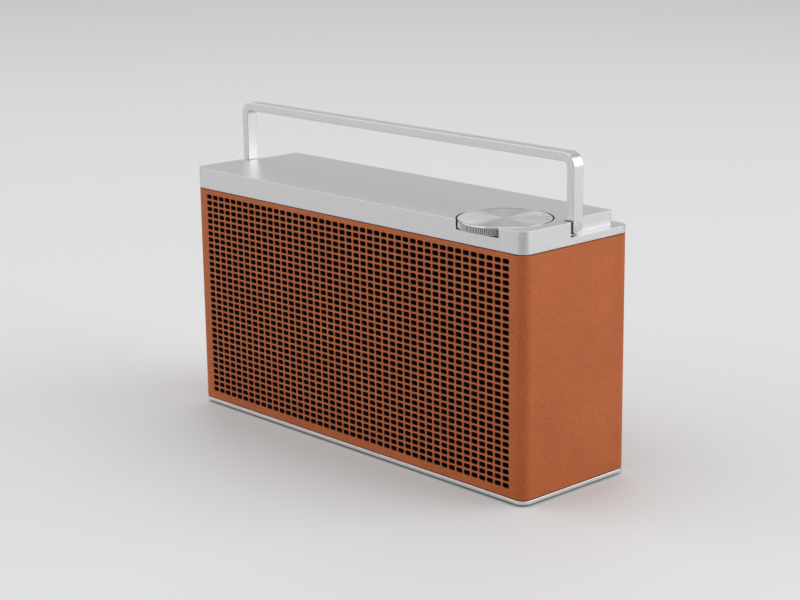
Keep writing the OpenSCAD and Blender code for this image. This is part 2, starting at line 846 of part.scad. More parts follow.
module heat_sink() {
    fin_step = (sink_size[0] - sink_fin_t) / (sink_fins - 1);
    face_y = board_y - chip_size[1];
    color("darkgray") {
        translate([sink_x() - sink_size[0] / 2, face_y - sink_base, sink_z() - sink_size[2] / 2]) {
            cube([sink_size[0], sink_base, sink_size[2]]);
            for (k = [0 : sink_fins - 1]) translate([k * fin_step, sink_base - sink_size[1], 0])
                cube([sink_fin_t, sink_size[1], sink_size[2]]);
        }
        for (x = sink_pins_x())
            rod_along_y(x, sink_z(), face_y - sink_base / 2, board_y + pcb_t, sink_pin_d);
    }
}

module microphone() {
    color("silver") translate([mic_x, mic_y, cover_top - cover_t - mic_can_h]) cylinder(h = mic_can_h, d = mic_can_d);
}

module microphone_board() {
    top = cover_top - cover_t - mic_can_h;
    color("darkgreen") translate([mic_x - mic_board_w / 2, mic_y - mic_board_d / 2, top - mic_board_t])
        cube([mic_board_w, mic_board_d, mic_board_t]);
}

// ---- connector panel ----

module rear_panel() {
    color("black") difference() {
        along_y(back_face, back_face + panel_t) translate([0, panel_z]) rounded(panel_w, panel_h, panel_r);
        rod_along_y(power_x, panel_z, back_face - cut, half_d + panel_t, power_nose_d);
        rod_along_y(line_x, panel_z, back_face - cut, half_d + panel_t, line_nose_d);
        translate([usb_x, 0, panel_z]) cube([usb_w + 2 * usb_wall, body_d + 4 * panel_t, usb_h + 2 * usb_wall],
            center = true);
        for (p = panel_screws_at())
            translate([p[0], back_face + panel_t, p[1]]) rotate([90, 0, 0])
                countersunk(panel_t + cut, small_screw_d, small_head_d, small_head_t);
    }
}

function panel_screws_at() = [for (x = [-1, 1]) [x * (panel_w - panel_lip) / 2, panel_z]];

module panel_screws() {
    color("gray") for (p = panel_screws_at())
        translate([p[0], back_face + panel_t, p[1]]) rotate([90, 0, 0])
            countersunk(panel_t + cabinet_wall, small_screw_d, small_head_d, small_head_t);
}

module socket_board() {
    color("darkgreen") translate([-socket_board_w / 2, back_in - socket_board_d, socket_board_top - pcb_t])
        cube([socket_board_w, socket_board_d, pcb_t]);
}

// A socket: its body stands on the board, its round nose reaches into the panel
module socket(x, w, h, nose_d, bore_d, depth) {
    difference() {
        union() {
            translate([x - w / 2, back_face - socket_body_l, socket_board_top]) cube([w, socket_body_l, h]);
            rod_along_y(x, panel_z, back_face - cut, socket_face, nose_d);
        }
        rod_along_y(x, panel_z, socket_face - depth, socket_face + cut, bore_d);
    }
}

module power_socket() {
    color("black") {
        socket(power_x, 2 * socket_up, 2 * socket_up, power_nose_d, power_bore_d, power_depth);
        rod_along_y(power_x, panel_z, socket_face - power_depth - cut, socket_face - cut, power_pin_d);
    }
}

module line_socket() {
    color("black") socket(line_x, 1.5 * socket_up, 1.7 * socket_up, line_nose_d, line_bore_d, line_depth);
}

module usb_socket() {
    tongue_h = 0.7;
    tongue_in = 0.5; // behind the socket's mouth
    color("silver") {
        difference() {
            union() {
                translate([usb_x - usb_w / 2 - usb_wall, back_face - socket_body_l, socket_board_top])
                    cube([usb_w + 2 * usb_wall, socket_body_l, 1.5 * socket_up]);
                translate([usb_x - usb_w / 2 - usb_wall, back_face - cut, panel_z - usb_h / 2 - usb_wall])
                    cube([usb_w + 2 * usb_wall, socket_face - back_face + cut, usb_h + 2 * usb_wall]);
            }
            translate([usb_x - usb_w / 2, socket_face - usb_depth, panel_z - usb_h / 2])
                cube([usb_w, usb_depth + cut, usb_h]);
        }
        translate([usb_x - usb_w / 2 + 1, socket_face - usb_depth - cut, panel_z - tongue_h / 2])
            cube([usb_w - 2, usb_depth - tongue_in + cut, tongue_h]);
    }
}

// ---- antenna ----

module antenna_bush() {
    bore = swivel_stem_d + 2 * run_fit;
    color("gray") difference() {
        union() {
            rod_along_y(rod_x, rod_z, back_in - bush_l, back_face, bore + 2 * bush_wall);
            rod_along_y(rod_x, rod_z, back_in - bush_flange_t, back_in, bush_flange_d);
        }
        rod_along_y(rod_x, rod_z, back_in - bush_l - cut, back_face + cut, bore);
    }
}

// A disc with two ears that turns in the bush
module antenna_swivel() {
    ear_z = tang_t / 2 + slip;
    color("silver") difference() {
        union() {
            rod_along_y(rod_x, rod_z, back_face + slip, swivel_top, swivel_d);
            rod_along_y(rod_x, rod_z, back_in - bush_l - slip - clip_t, back_face + slip + cut, swivel_stem_d);
            for (s = [-1, 1]) {
                translate([rod_x, rod_y, rod_z + s * (ear_z + ear_t / 2)]) cylinder(h = ear_t, d = rod_d, center = true);
                translate([rod_x - rod_d / 2, swivel_top - slip, rod_z + s * (ear_z + ear_t / 2) - ear_t / 2])
                    cube([rod_d, rod_y - swivel_top + slip, ear_t]);
            }
        }
        translate([rod_x, rod_y, rod_z]) cylinder(h = 4 * rod_d, d = rivet_d, center = true);
    }
}

module antenna_clip() {
    color("gray") difference() {
        rod_along_y(rod_x, rod_z, back_in - bush_l - slip - clip_t, back_in - bush_l - slip,
            swivel_stem_d + 2 * clip_rim);
        rod_along_y(rod_x, rod_z, 0, half_d, swivel_stem_d);
    }
}

module antenna_rivet() {
    color("silver") translate([rod_x, rod_y, rod_z])
        cylinder(h = tang_t + 2 * slip + 2 * ear_t, d = rivet_d, center = true);
}

// The thickest tube ends in a flat tang that turns on the rivet
module antenna_tube_1() {
    color("silver") difference() {
        union() {
            tube(1);
            intersection() {
                rod_along_x(rod_y, rod_z, rod_x, tube_z0 + cut, rod_d);
                translate([rod_x, rod_y - rod_d, rod_z - tang_t / 2]) cube([2 * tang_l, 2 * rod_d, tang_t]);
            }
            translate([rod_x, rod_y, rod_z]) cylinder(h = tang_t, d = rod_d, center = true);
        }
        translate([rod_x, rod_y, rod_z]) cylinder(h = 2 * tang_t, d = rivet_d + 2 * run_fit, center = true);
    }
}

// Tube n of the telescope; each one starts a little further along and ends past the last
module tube(n) {
    x0 = tube_z0 + (n - 1) * lip_l;
    difference() {
        rod_along_x(rod_y, rod_z, x0, x0 + rod_l, tube_d(n));
        rod_along_x(rod_y, rod_z, x0 + (n == 1 ? lip_l : -cut), x0 + rod_l + cut, tube_d(n) - 2 * tube_wall);
    }
}

module antenna_tube_2() { color("silver") tube(2); }
module antenna_tube_3() { color("silver") tube(3); }
module antenna_tube_4() { color("silver") tube(4); }

module antenna_rod() {
    x0 = tube_z0 + 4 * lip_l;
    color("silver") rod_along_x(rod_y, rod_z, x0, x0 + rod_l, tube_d(5));
}

module antenna_cap() {
    x0 = tube_z0 + 4 * lip_l + rod_l;
    color("silver") rod_along_x(rod_y, rod_z, x0, x0 + cap_l, cap_d);
}

leather_wrap();
cabinet_shell();
grille_grid();
speaker_cloth();
front_baffle();
top_cover();
cover_screws();
base_plate();
base_screws();
rubber_feet();
handle_bar();
pivot_pins();
pin_clips();
friction_washers();
volume_knob();
knob_shaft();
volume_potentiometer();
shaft_nut();
left_basket();
left_cone();
left_surround();
left_magnet();
right_basket();
right_cone();
right_surround();
right_magnet();
driver_gaskets();
driver_screws();
battery_tray();
battery_cells();
main_board();
board_screws();
tuner_module();
amplifier_chip();
heat_sink();
microphone();
microphone_board();
rear_panel();
panel_screws();
socket_board();
power_socket();
line_socket();
usb_socket();
antenna_bush();
antenna_swivel();
antenna_clip();
antenna_rivet();
antenna_tube_1();
antenna_tube_2();
antenna_tube_3();
antenna_tube_4();
antenna_rod();
antenna_cap();
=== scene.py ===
"""Looks of the leather portable radio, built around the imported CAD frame. Lengths are in metres."""
import json
import math

import bmesh
import bpy
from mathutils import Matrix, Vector
from mathutils.geometry import tessellate_polygon


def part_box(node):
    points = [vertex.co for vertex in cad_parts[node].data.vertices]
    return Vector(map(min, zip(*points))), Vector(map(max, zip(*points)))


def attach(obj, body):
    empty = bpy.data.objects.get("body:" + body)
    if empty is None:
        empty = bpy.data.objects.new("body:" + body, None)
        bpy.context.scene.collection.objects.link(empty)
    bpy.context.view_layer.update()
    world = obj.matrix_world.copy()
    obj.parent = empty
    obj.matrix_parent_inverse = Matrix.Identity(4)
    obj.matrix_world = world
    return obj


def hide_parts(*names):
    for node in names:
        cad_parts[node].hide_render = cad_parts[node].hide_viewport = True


MM = 0.001

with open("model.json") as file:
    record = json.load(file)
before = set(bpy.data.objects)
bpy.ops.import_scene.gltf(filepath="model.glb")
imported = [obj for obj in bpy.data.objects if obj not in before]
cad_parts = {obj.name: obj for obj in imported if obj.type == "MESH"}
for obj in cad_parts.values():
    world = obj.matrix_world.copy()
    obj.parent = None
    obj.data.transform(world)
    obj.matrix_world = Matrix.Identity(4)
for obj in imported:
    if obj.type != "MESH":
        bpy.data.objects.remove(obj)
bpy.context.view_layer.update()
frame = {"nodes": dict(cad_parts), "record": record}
NODES = frame["nodes"]

# ---- sizes that the frame gives ----

leather_low, leather_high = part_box("leather_wrap")
knob_low, knob_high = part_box("volume_knob")
panel_low, panel_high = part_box("rear_panel")
swivel_low, swivel_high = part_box("antenna_swivel")
shell_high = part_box("cabinet_shell")[1]

LEATHER_FOOT, LEATHER_TOP = leather_low.z, leather_high.z
LEATHER_BACK = leather_high.y
LEATHER_FRONT = -LEATHER_BACK
LEATHER_T = LEATHER_BACK - shell_high.y
KNOB_MIDDLE = (knob_low + knob_high) / 2
KNOB_R = (knob_high.x - knob_low.x) / 2


# ---- node materials ----

class Shader:
    """A material whose Principled shader's sockets are set by name or fed by nodes."""

    def __init__(self, name, color, roughness, metallic=0.0, **sockets):
        self.material = bpy.data.materials.new(name)
        self.material.use_nodes = True
        self.tree = self.material.node_tree
        self.bsdf = self.tree.nodes["Principled BSDF"]
        self.coords = self.tree.nodes.new("ShaderNodeTexCoord").outputs["Object"]
        self.set("Base Color", (*color, 1))
        self.set("Roughness", roughness)
        self.set("Metallic", metallic)
        for socket, value in sockets.items():
            self.set(socket.replace("_", " "), value)

    def set(self, socket, value):
        self.bsdf.inputs[socket].default_value = value

    def link(self, output, socket):
        self.tree.links.new(output, self.bsdf.inputs[socket])

    def node(self, kind, inputs=(), **props):
        """A node whose inputs take either another node's output or a plain value."""
        made = self.tree.nodes.new(kind)
        for key, value in props.items():
            setattr(made, key, value)
        for key, value in dict(inputs).items():
            if isinstance(value, bpy.types.NodeSocket):
                self.tree.links.new(value, made.inputs[key])
            else:
                made.inputs[key].default_value = value
        return made

    def math(self, operation, first, second):
        made = self.node("ShaderNodeMath", {0: first, 1: second}, operation=operation)
        return made.outputs["Value"]

    def weighted(self, first, first_share, second, second_share):
        """Two values, each times its share, added up."""
        return self.math("ADD", self.math("MULTIPLY", first, first_share),
                         self.math("MULTIPLY", second, second_share))

    def spread(self, value, low, high, from_low=0.0, from_high=1.0):
        """Maps from_low to low and from_high to high, and clamps beyond them."""
        made = self.node("ShaderNodeMapRange", {
            "Value": value, "From Min": from_low, "From Max": from_high,
            "To Min": low, "To Max": high})
        return made.outputs["Result"]

    def stretched(self, scale):
        made = self.node("ShaderNodeMapping", {"Vector": self.coords, "Scale": scale})
        return made.outputs["Vector"]

    def stir(self, amount, scale):
        """Warps the coordinates that later textures use, so that no pattern runs straight."""
        wander = self.node("ShaderNodeTexNoise", {
            "Vector": self.coords, "Scale": scale, "Detail": 2.0})
        shift = self.node("ShaderNodeVectorMath", {
            0: wander.outputs["Color"], 1: (amount,) * 3}, operation="MULTIPLY")
        moved = self.node("ShaderNodeVectorMath", {
            0: self.coords, 1: shift.outputs["Vector"]}, operation="ADD")
        self.coords = moved.outputs["Vector"]

    def noise(self, scale, detail=3.0, vector=None):
        made = self.node("ShaderNodeTexNoise", {
            "Vector": vector or self.coords, "Scale": scale, "Detail": detail})
        return made.outputs["Fac"]

    def voronoi(self, scale, feature):
        made = self.node("ShaderNodeTexVoronoi", {
            "Vector": self.coords, "Scale": scale}, feature=feature)
        return made.outputs["Distance"]

    def back_seam(self, inner=0.06 * MM, outer=0.3 * MM):
        """0 along the butt seam up the middle of the back, 1 everywhere else."""
        place = self.node("ShaderNodeTexCoord").outputs["Object"]
        split = self.node("ShaderNodeSeparateXYZ", {"Vector": place})
        from_middle = self.math("ABSOLUTE", split.outputs["X"], 0.0)
        aside = self.spread(from_middle, 0, 1, inner, outer)
        in_front = self.math("LESS_THAN", split.outputs["Y"], 0.0)
        return self.math("MAXIMUM", aside, in_front)

    def tint(self, value, low_stop, high_stop):
        """Colours along a value: each stop is (place, colour)."""
        ramp = self.node("ShaderNodeValToRGB", {"Fac": value})
        for element, (place, color) in zip(ramp.color_ramp.elements, (low_stop, high_stop)):
            element.position, element.color = place, (*color, 1)
        return ramp.outputs["Color"]

    def bump(self, height, distance, strength=1.0):
        made = self.node("ShaderNodeBump", {
            "Height": height, "Distance": distance, "Strength": strength})
        self.link(made.outputs["Normal"], "Normal")


def scaled(color, factor):
    return [c * factor for c in color]


def leather_shader(name, color, dark, light):
    """Fine pebble grain: small domes parted by creases, with a slow change of colour and painted
    shade in the creases.
    """
    pebbles, pores, patches, blotches, wear = 960, 2600, 26, 700, 900  # texture scales
    s = Shader(name, color, 0.5, Specular_IOR_Level=0.3)
    s.stir(0.9 * MM, 420)
    domes = s.voronoi(pebbles, "SMOOTH_F1")
    creases = s.spread(s.voronoi(pebbles, "DISTANCE_TO_EDGE"), 0, 1, 0.0, 0.28)
    fine = s.noise(pores)
    grain = s.weighted(domes, -0.8, creases, 0.22)
    grain = s.math("ADD", grain, s.math("MULTIPLY", fine, 0.35))
    cloud = s.weighted(s.noise(patches, 4.0), 0.45, s.noise(blotches), 0.55)
    seam = s.back_seam()
    # painted shade: the crease term makes the colour darker in the creases between the domes
    shade = s.math("MULTIPLY", s.weighted(cloud, 0.85, creases, 0.15), s.spread(seam, 0.35, 1.0))
    s.link(s.tint(shade, (0.33, dark), (0.71, light)), "Base Color")
    s.link(s.spread(s.noise(wear, 2.0), 0.42, 0.6), "Roughness")
    s.bump(s.math("ADD", grain, s.math("MULTIPLY", seam, 1.6)), 0.32 * MM, 0.9)
    return s.material


def satin_metal(name, color, roughness=0.33, grain=(2600,) * 3, depth=0.014 * MM, contrast=0.08):
    """Bead-blasted or finely brushed metal: fine grit over a coarser mottle, with faint smears."""
    coarser, smears, roughness_range = 0.55, 22, 0.05
    s = Shader(name, color, roughness, 1.0)
    grit = s.noise(1.0, 2.0, s.stretched(grain))
    mottle = s.noise(coarser, 2.0, s.stretched(grain))
    smear = s.noise(smears)
    shade = s.weighted(grit, 0.35, mottle, 0.65)
    low = scaled(color, 1 - contrast)
    high = scaled(color, 1 + contrast)
    s.link(s.tint(shade, (0.38, low), (0.62, high)), "Base Color")
    s.link(s.spread(s.weighted(grit, 0.7, smear, 0.3), roughness - roughness_range,
                    roughness + roughness_range, 0.3, 0.7), "Roughness")
    s.bump(grit, depth, 0.6)
    return s.material


def spun_metal(name, color, centre):
    """Turned metal: fine rings about a centre, with a stretched highlight."""
    fine_rings, broad_rings = 1300, 290
    s = Shader(name, color, 0.4, 1.0, Anisotropic=0.85)
    centred = s.node("ShaderNodeMapping", {
        "Vector": s.coords, "Location": (-centre.x, -centre.y, 0)}).outputs["Vector"]
    fine, broad = (s.node("ShaderNodeTexWave", {
        "Vector": centred, "Scale": scale, "Distortion": 2.0, "Detail": 3.0, "Detail Scale": 2.0},
        wave_type="RINGS", rings_direction="Z").outputs["Fac"]
        for scale in (fine_rings, broad_rings))
    tangent = s.node("ShaderNodeTangent", direction_type="RADIAL", axis="Z")
    s.link(tangent.outputs["Tangent"], "Tangent")
    shade = s.weighted(fine, 0.5, broad, 0.5)
    s.link(s.tint(shade, (0.1, scaled(color, 0.86)), (0.9, color)), "Base Color")
    s.link(s.spread(shade, 0.36, 0.46), "Roughness")
    s.bump(shade, 0.003 * MM, 0.4)
    return s.material


def plastic(name, color, roughness=0.55, scale=1800, depth=0.02 * MM, metallic=0.0):
    """Moulded plastic, rubber or paint with a fine spark-eroded texture."""
    roughness_range = 0.08
    s = Shader(name, color, roughness, metallic)
    grain = s.noise(scale)
    s.link(s.tint(grain, (0.3, scaled(color, 0.8)), (0.7, scaled(color, 1.15))), "Base Color")
    s.link(s.spread(grain, roughness - roughness_range, roughness + roughness_range, 0.3, 0.7),
           "Roughness")
    s.bump(grain, depth, 0.6)
    return s.material


def woven(name, color, pitch=0.7 * MM):
    """Plain-weave speaker cloth: two crossed sets of threads."""
    half_wave = 0.157  # half the length of the texture's wave at scale 1
    s = Shader(name, color, 0.9)
    across, upward = (s.node("ShaderNodeTexWave", {
        "Vector": s.coords, "Scale": half_wave / pitch}, bands_direction=axis).outputs["Fac"]
        for axis in "XZ")
    cross = s.math("MULTIPLY", across, upward)
    s.link(s.tint(cross, (0.0, scaled(color, 0.4)), (1.0, color)), "Base Color")
    s.bump(cross, 0.1 * MM)
    return s.material


ALUMINIUM = (0.59, 0.59, 0.593)
LEATHER = leather_shader("leather", (0.41, 0.095, 0.019), dark=(0.34, 0.074, 0.0125),
                         light=(0.495, 0.119, 0.025))
CUT_EDGE = plastic("leather_cut_edge", (0.035, 0.014, 0.008), 0.85, 2500, 0.03 * MM)
COVER = satin_metal("cover_aluminium", ALUMINIUM, 0.36)
BASE = satin_metal("base_aluminium", (0.72, 0.715, 0.71), 0.34)
HANDLE = satin_metal("handle_aluminium", ALUMINIUM, 0.34, (3400,) * 3, 0.008 * MM, contrast=0.05)
KNOB_RIM = satin_metal("knob_rim", (0.6, 0.6, 0.603), 0.2)
# painted shade: a near-black metal for the deepest faces of the knob's flutes
KNOB_GROOVE_SHADE = satin_metal("knob_groove_painted_shade", (0.1, 0.1, 0.102), 0.4)
KNOB_TOP = spun_metal("knob_spun", (0.62, 0.62, 0.623), KNOB_MIDDLE)
PIN = satin_metal("pin_steel", (0.55, 0.55, 0.56), 0.28)
SHELL = plastic("cabinet_plastic", (0.012, 0.012, 0.013), 0.6)
GRID = plastic("grille_plastic", (0.008, 0.008, 0.009), 0.6)
CLOTH = woven("speaker_cloth", (0.012, 0.012, 0.013))
BOARD_WOOD = plastic("baffle_board", (0.2, 0.13, 0.07), 0.8, 700, 0.1 * MM)
BLACK = plastic("black_plastic", (0.016, 0.016, 0.018), 0.5)
RUBBER = plastic("foot_rubber", (0.012, 0.012, 0.012), 0.8, 900, 0.05 * MM)
SCREW = satin_metal("screw_steel", (0.42, 0.42, 0.44), 0.32)
BRASS = satin_metal("brass", (0.62, 0.42, 0.16), 0.3)
CHROME = satin_metal("antenna_chrome", (0.72, 0.72, 0.73), 0.1, (90, 2600, 2600), 0.004 * MM)
DRIVER = plastic("driver_steel", (0.02, 0.02, 0.022), 0.4, metallic=0.6)
CONE = plastic("driver_cone", (0.02, 0.02, 0.02), 0.9, 1200, 0.1 * MM)
CELL = plastic("battery_wrap", (0.02, 0.08, 0.3), 0.3)
BOARD = plastic("circuit_board", (0.005, 0.07, 0.02), 0.35, 500, 0.03 * MM)
SHIELD = satin_metal("shield_metal", (0.5, 0.5, 0.51), 0.3)
SINK = satin_metal("sink_aluminium", (0.3, 0.3, 0.31), 0.4)

BY_SLOT = {
    "leather": LEATHER, "cabinet_plastic": SHELL, "grille_plastic": GRID, "speaker_cloth": CLOTH,
    "baffle_board": BOARD_WOOD, "cover_aluminium": COVER, "base_aluminium": BASE,
    "handle_metal": HANDLE, "pin_metal": PIN, "knob_metal": KNOB_RIM, "screw_steel": SCREW,
    "foot_rubber": RUBBER, "black_plastic": BLACK, "brass": BRASS, "driver_steel": DRIVER,
    "driver_cone": CONE, "battery_wrap": CELL, "circuit_board": BOARD, "shield_metal": SHIELD,
    "sink_aluminium": SINK, "antenna_chrome": CHROME,
}
SLOT_OF = {part["node"]: part["material_slot"] for part in frame["record"]["subparts"]}
BODY_OF = {node: body for body, members in frame["record"]["behaviour"]["bodies"].items()
           for node in members}


def finish_cad_nodes():
    """Every carried-over CAD node takes the material of its record slot."""
    for name, node in NODES.items():
        node.data.materials.clear()
        node.data.materials.append(BY_SLOT[SLOT_OF[name]])
        for polygon in node.data.polygons:
            polygon.material_index = 0


# ---- mesh helpers ----

CAD_WELD = 0.002 * MM


def piece_from(bm, name, body, slot, materials, replaces=()):
    """Turns a bmesh into a piece that rides on a body."""
    mesh = bpy.data.meshes.new(name)
    bm.to_mesh(mesh)
    bm.free()
    for material in materials:
        mesh.materials.append(material)
    made = bpy.data.objects.new(name, mesh)
    bpy.context.scene.collection.objects.link(made)
    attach(made, body)
    if replaces:
        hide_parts(*replaces)
    return made


def smooth_by_angle(piece, degrees):
    """Smooth shading, apart from the edges that turn by more than the angle."""
    mesh = piece.data
    for polygon in mesh.polygons:
        polygon.use_smooth = True
    mesh.set_sharp_from_angle(angle=math.radians(degrees))


def weigh_normals(piece):
    """Lets the large flat faces rule the normals beside a bevel."""
    modifier = piece.modifiers.new("weigh", "WEIGHTED_NORMAL")
    modifier.keep_sharp = True
    modifier.weight = 60


def bridge(bm, first, second, material=0, closed=True):
    """Quads between two rows of vertices of the same length."""
    faces = []
    for k in range(len(first) if closed else len(first) - 1):
        n = (k + 1) % len(first)
        face = bm.faces.new((first[k], first[n], second[n], second[k]))
        face.material_index = material
        faces.append(face)
    return faces


def turned_ring(bm, centre, radii, z):
    """One vertex for each radius, spaced evenly round an upright axis."""
    ring = []
    for k, r in enumerate(radii):
        a = 2 * math.pi * k / len(radii)
        ring.append(bm.verts.new((centre[0] + r * math.cos(a), centre[1] + r * math.sin(a), z)))
    return ring


def skin_rings(bm, rings):
    """A closed solid through a row of rings, with a flat cap at either end."""
    for first, second in zip(rings, rings[1:]):
        bridge(bm, first, second)
    bm.faces.new(rings[-1])
    bm.faces.new(rings[0][::-1])


def bevelled_copy(node, name, width, segments=3, shortest=0.0):
    """A copy of a CAD node whose sharp edges, if longer than the shortest, are rounded."""
    flat_angle, sharp_angle, smooth_angle = 0.4, 35, 40
    bm = bmesh.new()
    bm.from_mesh(NODES[node].data)
    bmesh.ops.remove_doubles(bm, verts=bm.verts, dist=CAD_WELD)
    bmesh.ops.dissolve_limit(bm, angle_limit=math.radians(flat_angle), verts=bm.verts,
                             edges=bm.edges)
    sharp = [e for e in bm.edges if len(e.link_faces) == 2
             and e.calc_face_angle() > math.radians(sharp_angle) and e.calc_length() > shortest]
    bmesh.ops.bevel(bm, geom=sharp, offset=width, offset_type="OFFSET", segments=segments,
                    profile=0.5, affect="EDGES", clamp_overlap=False, loop_slide=True)
    slot = SLOT_OF[node]
    made = piece_from(bm, name, BODY_OF[node], slot, [BY_SLOT[slot]], [node])
    smooth_by_angle(made, smooth_angle)
    weigh_normals(made)


# ---- leather ----

CORNER_R = 6.5 * MM
CORNER_STEPS = 16
COLUMNS = 44
ROWS = 33
PITCH_X = 6.11 * MM
PITCH_Z = 4.01 * MM
FIRST_ROW = 6.4 * MM  # from the wrap's lower edge to the middle of the lowest row
HOLE_W = 4.8 * MM
HOLE_H = 2.75 * MM
HOLE_R = 0.95 * MM
HOLE_STEPS = 4  # in each round corner; cell_edge has one point more than this in each quarter
EDGE_ROLL = 0.3 * MM
HALF_ROLL = 0.3 * EDGE_ROLL  # set-in, from either face, of the point halfway round a rolled edge
PANEL_R = 3 * MM
PANEL_STEPS = 6
SWIVEL_CUT_R = 7.1 * MM
SWIVEL_STEPS = 10
LEATHER_WELD = 0.0008 * MM
SKIN_INDEX, CUT_INDEX = 0, 1

# How an opening's outline grows from its full depth out to the leather's face: (growth, depth)
OPENING_RINGS = ((0, LEATHER_T), (0, EDGE_ROLL), (HALF_ROLL, HALF_ROLL), (EDGE_ROLL, 0))


def rounded_loop(half_w, half_h, radius, steps):
    """Points of a rectangle with round corners, counter-clockwise from the right side."""
    points = []
    for quarter, (sx, sz) in enumerate(((1, 1), (-1, 1), (-1, -1), (1, -1))):
        for k in range(steps + 1):
            a = math.radians(90 * (quarter + k / steps))
            points.append((sx * (half_w - radius) + radius * math.cos(a),
                           sz * (half_h - radius) + radius * math.sin(a)))
    return points


def cell_edge():
    """The points of a cell's border that face the points of its hole."""
    hx, hz = PITCH_X / 2, PITCH_Z / 2
    cx, cz = HOLE_W / 2 - HOLE_R, HOLE_H / 2 - HOLE_R
    quarter = [(hx, cz), (hx, (cz + hz) / 2), (hx, hz), ((cx + hx) / 2, hz), (cx, hz)]
    points = list(quarter)
    points += [(-x, z) for x, z in reversed(quarter)]
    points += [(-x, -z) for x, z in quarter]
    points += [(x, -z) for x, z in reversed(quarter)]
    return points


def grid_lines(middles, offsets):
    """The lines that the cells' border points lie on, rounded so that neighbours share them."""
    return sorted({round(m + round(offset, 9), 7) for m in middles for offset in offsets})


def side_places():
    """Places (x, y, nx, ny) round the two corners of the right side, and of the left side."""
    sides = []
    for corners in (((1, -1, 270), (1, 1, 0)), ((-1, 1, 90), (-1, -1, 180))):
        places = []
        for sx, sy, start in corners:
            for k in range(CORNER_STEPS + 1):
                a = math.radians(start + 90 * k / CORNER_STEPS)
                nx, ny = math.cos(a), math.sin(a)
                places.append((sx * FLAT_X + CORNER_R * nx, sy * FLAT_Y + CORNER_R * ny, nx, ny))
        sides.append(places)
    return sides


FLAT_X = leather_high.x - CORNER_R
FLAT_Y = LEATHER_BACK - CORNER_R
COLUMN_X = [(i - (COLUMNS - 1) / 2) * PITCH_X for i in range(COLUMNS)]
ROW_Z = [LEATHER_FOOT + FIRST_ROW + j * PITCH_Z for j in range(ROWS)]
BORDER = cell_edge()
GRID_X = grid_lines(COLUMN_X, [x for x, z in BORDER])
GRID_Z = grid_lines(ROW_Z, [z for x, z in BORDER])
FRONT_X = [-FLAT_X] + GRID_X + [FLAT_X]
INNER_Z = [LEATHER_FOOT, GRID_Z[0], GRID_Z[-1], LEATHER_TOP]
RIGHT_SIDE, LEFT_SIDE = side_places()

# The wrap's rolled lower and upper edges, in order from the foot upwards: (height, set-in)
LOWER_EDGE = [(LEATHER_FOOT, LEATHER_T), (LEATHER_FOOT, EDGE_ROLL),
              (LEATHER_FOOT + HALF_ROLL, HALF_ROLL), (LEATHER_FOOT + EDGE_ROLL, 0)]
UPPER_EDGE = [(LEATHER_FOOT + LEATHER_TOP - z, set_in) for z, set_in in reversed(LOWER_EDGE)]


def upright_ring(bm, points, centre, y):
    return [bm.verts.new((centre[0] + x, y, centre[1] + z)) for x, z in points]


def add_strip(bm, places, levels, flip=False):
    """A grid of faces over places (x, y, nx, ny) and levels (height, set-in)."""
    rows = [[bm.verts.new((x - nx * set_in, y - ny * set_in, z)) for x, y, nx, ny in places]
            for z, set_in in levels]
    for a, b in zip(rows, rows[1:]):
        first, second = (b, a) if flip else (a, b)
        bridge(bm, first, second, SKIN_INDEX, closed=False)


def add_holes(bm):
    """The front's cells: a hole with a dark cut and a rolled edge, and the leather around it."""
    for x in COLUMN_X:
        for z in ROW_Z:
            rings = []
            for grow, depth in OPENING_RINGS:
                points = rounded_loop(HOLE_W / 2 + grow, HOLE_H / 2 + grow, HOLE_R + grow,
                                      HOLE_STEPS)
                rings.append(upright_ring(bm, points, (x, z), LEATHER_FRONT + depth))
            for first, second, index in zip(rings, rings[1:], (CUT_INDEX, CUT_INDEX, SKIN_INDEX)):
                bridge(bm, first, second, index)
            outer_border = upright_ring(bm, BORDER, (x, z), LEATHER_FRONT)
            bridge(bm, rings[-1], outer_border, SKIN_INDEX)
            inner_border = upright_ring(bm, BORDER, (x, z), LEATHER_FRONT + LEATHER_T)
            bridge(bm, inner_border, rings[0], CUT_INDEX)


def add_walls(bm):
    """The margins round the holes, and the corners and sides."""
    front_places = [(x, LEATHER_FRONT, 0, -1) for x in FRONT_X]
    add_strip(bm, front_places, LOWER_EDGE + [(GRID_Z[0], 0)])
    add_strip(bm, front_places, [(GRID_Z[-1], 0)] + UPPER_EDGE)
    grid_levels = [(z, 0) for z in GRID_Z]
    add_strip(bm, front_places[:2], grid_levels)
    add_strip(bm, front_places[-2:], grid_levels)
    for side in (RIGHT_SIDE, LEFT_SIDE):
        add_strip(bm, side, LOWER_EDGE + grid_levels + UPPER_EDGE)


